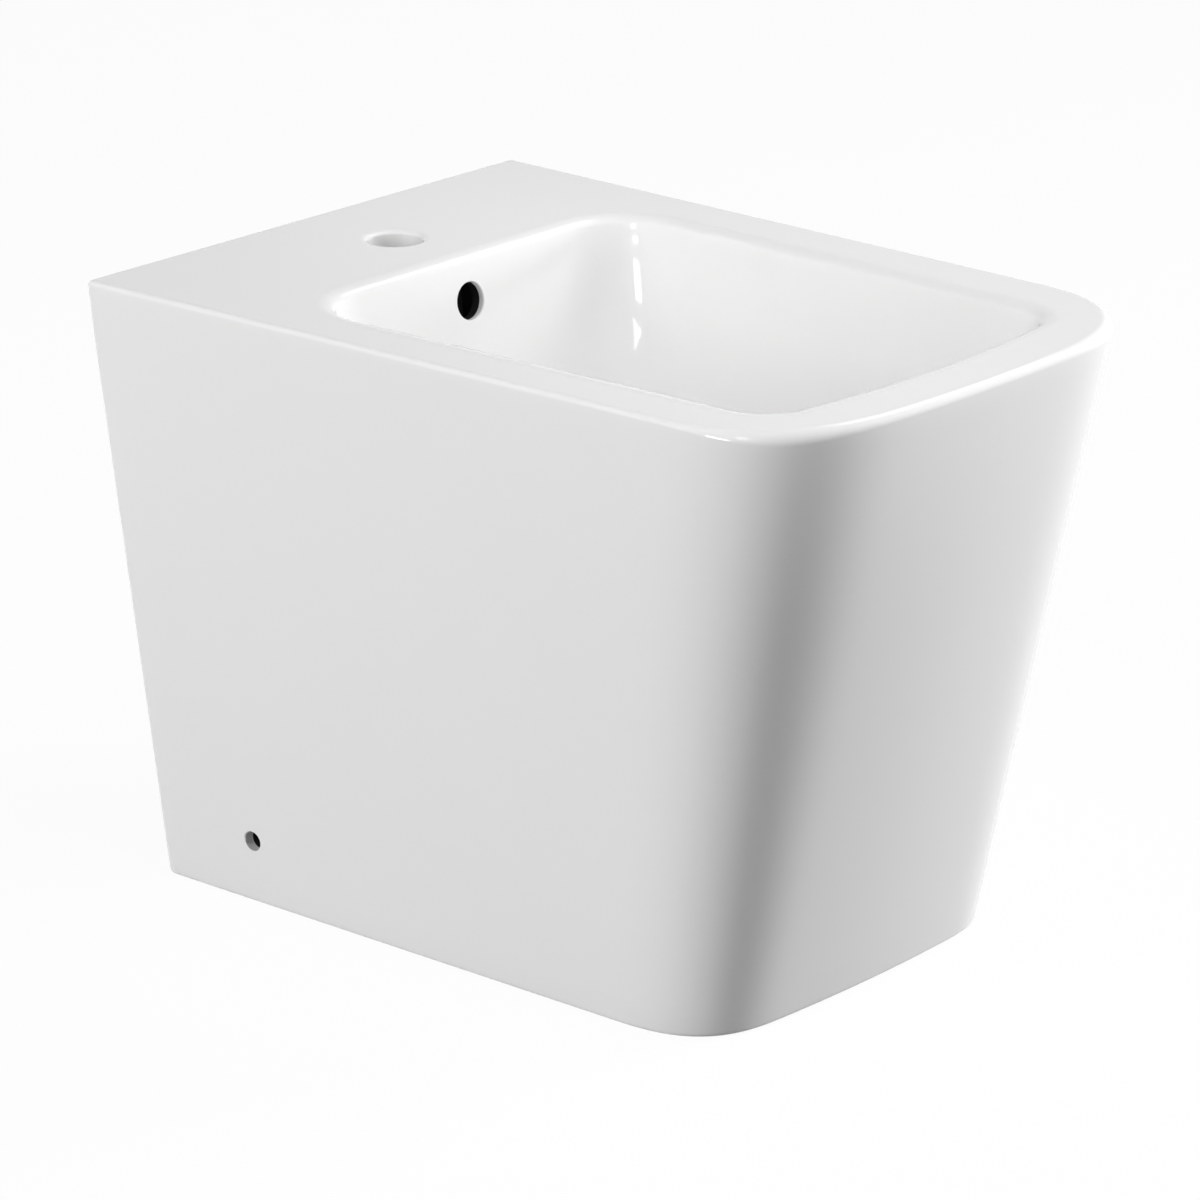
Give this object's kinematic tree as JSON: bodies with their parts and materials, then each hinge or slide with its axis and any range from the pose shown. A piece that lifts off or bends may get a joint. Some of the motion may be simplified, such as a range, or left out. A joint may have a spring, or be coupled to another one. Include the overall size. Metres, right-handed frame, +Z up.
{
  "type": "bidet",
  "caption": "Square back-to-wall floor bidet in white glazed china with a tap hole, overflow, click waste and hidden floor fixings.",
  "frame": {"origin": "bottom centre of the bounding box, on the floor", "axes": "+Z up, +Y towards the wall, -Y towards the user at the front, +X to the right as the viewer sees the front from outside"},
  "size_m": [0.3918, 0.55, 0.4],
  "materials": {
    "glazed_china": "gloss",
    "chromed_brass": "polished",
    "plain_brass": "machined",
    "black_rubber": "matte",
    "white_plastic": "moulded",
    "zinc_steel": "zinc plated"
  },
  "bodies": {
    "body": {"china_body": "glazed_china", "waste_body": "chromed_brass", "flange_gasket": "black_rubber", "tapered_washer": "black_rubber", "slip_washer": "white_plastic", "back_nut": "plain_brass", "click_cartridge": "white_plastic", "cartridge_cap": "white_plastic", "cartridge_spring": "zinc_steel", "floor_bracket_left": "white_plastic", "floor_bracket_right": "white_plastic", "clamp_screw_left": "zinc_steel", "clamp_screw_right": "zinc_steel", "clamp_washer_left": "zinc_steel", "clamp_washer_right": "zinc_steel", "clamp_nut_left": "zinc_steel", "clamp_nut_right": "zinc_steel"},
    "plug": {"plug_cap": "chromed_brass", "plug_seal": "black_rubber", "plug_stem": "plain_brass", "stem_collar": "white_plastic"}
  },
  "joints": [
    {"name": "plug_slide", "type": "slide", "parent": "body", "child": "plug", "axis": [0, 0, 1], "range_m": [-0.009, 0], "stiffness_N_per_m": 300, "springref_m": 0.01, "deforming": ["cartridge_spring"]}
  ]
}
